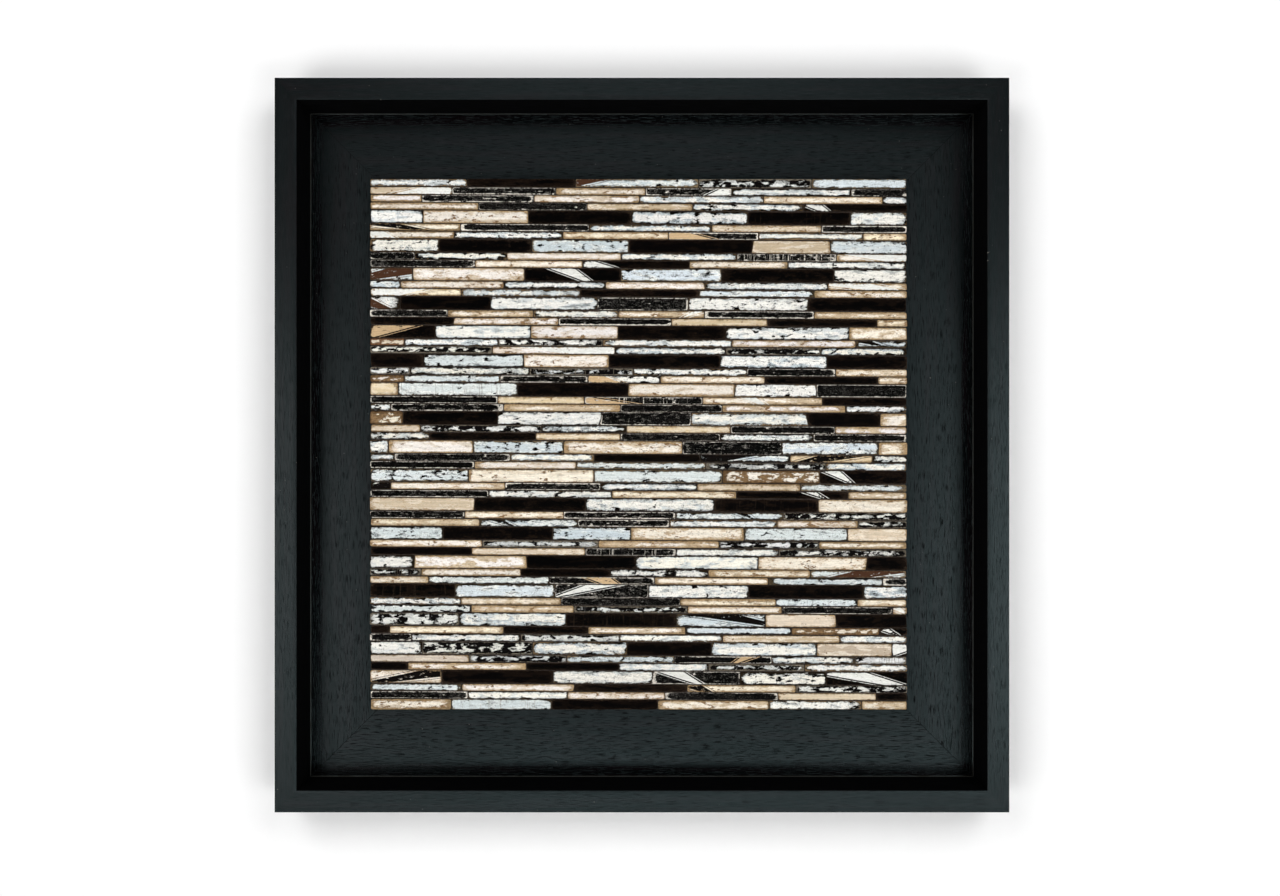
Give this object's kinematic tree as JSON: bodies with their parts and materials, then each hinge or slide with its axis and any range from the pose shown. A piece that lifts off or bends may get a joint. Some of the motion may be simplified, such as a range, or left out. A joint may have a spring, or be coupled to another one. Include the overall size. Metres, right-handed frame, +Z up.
{
  "type": "teak wall panel",
  "caption": "Square wall panel of reclaimed teak strips laid in staggered rows, in a deep black mitred frame that hangs flat on a wall.",
  "frame": {"origin": "the middle of the top rail's flat back face, where the panel bears on the wall", "axes": "+Z up, +Y into the wall, -Y out towards the viewer, +X to the viewer's right"},
  "size_m": [0.6, 0.054, 0.6],
  "materials": {
    "frame_black_stain": "open-pored hardwood, stained black, semi-matte",
    "board_plywood": "plywood, stained dark brown",
    "reclaimed_teak": "old paint in white, tan and black, worn and sanded, under a satin wax"
  },
  "bodies": {
    "root": {"frame_rail_top": "frame_black_stain", "frame_rail_right": "frame_black_stain", "frame_rail_bottom": "frame_black_stain", "frame_rail_left": "frame_black_stain", "backing_board": "board_plywood", "strip_row_01": "reclaimed_teak", "strip_row_02": "reclaimed_teak", "strip_row_03": "reclaimed_teak", "strip_row_04": "reclaimed_teak", "strip_row_05": "reclaimed_teak", "strip_row_06": "reclaimed_teak", "strip_row_07": "reclaimed_teak", "strip_row_08": "reclaimed_teak", "strip_row_09": "reclaimed_teak", "strip_row_10": "reclaimed_teak", "strip_row_11": "reclaimed_teak", "strip_row_12": "reclaimed_teak", "strip_row_13": "reclaimed_teak", "strip_row_14": "reclaimed_teak", "strip_row_15": "reclaimed_teak", "strip_row_16": "reclaimed_teak", "strip_row_17": "reclaimed_teak", "strip_row_18": "reclaimed_teak", "strip_row_19": "reclaimed_teak", "strip_row_20": "reclaimed_teak", "strip_row_21": "reclaimed_teak", "strip_row_22": "reclaimed_teak", "strip_row_23": "reclaimed_teak", "strip_row_24": "reclaimed_teak", "strip_row_25": "reclaimed_teak", "strip_row_26": "reclaimed_teak", "strip_row_27": "reclaimed_teak", "strip_row_28": "reclaimed_teak", "strip_row_29": "reclaimed_teak", "strip_row_30": "reclaimed_teak", "strip_row_31": "reclaimed_teak", "strip_row_32": "reclaimed_teak", "strip_row_33": "reclaimed_teak", "strip_row_34": "reclaimed_teak", "strip_row_35": "reclaimed_teak", "strip_row_36": "reclaimed_teak", "strip_row_37": "reclaimed_teak", "strip_row_38": "reclaimed_teak", "strip_row_39": "reclaimed_teak", "strip_row_40": "reclaimed_teak", "strip_row_41": "reclaimed_teak", "strip_row_42": "reclaimed_teak", "strip_row_43": "reclaimed_teak", "strip_row_44": "reclaimed_teak", "strip_row_45": "reclaimed_teak", "strip_row_46": "reclaimed_teak", "strip_row_47": "reclaimed_teak", "strip_row_48": "reclaimed_teak", "strip_row_49": "reclaimed_teak", "strip_row_50": "reclaimed_teak", "strip_row_51": "reclaimed_teak", "strip_row_52": "reclaimed_teak", "strip_row_53": "reclaimed_teak", "strip_row_54": "reclaimed_teak", "strip_rows_55_56": "reclaimed_teak"}
  },
  "joints": []
}
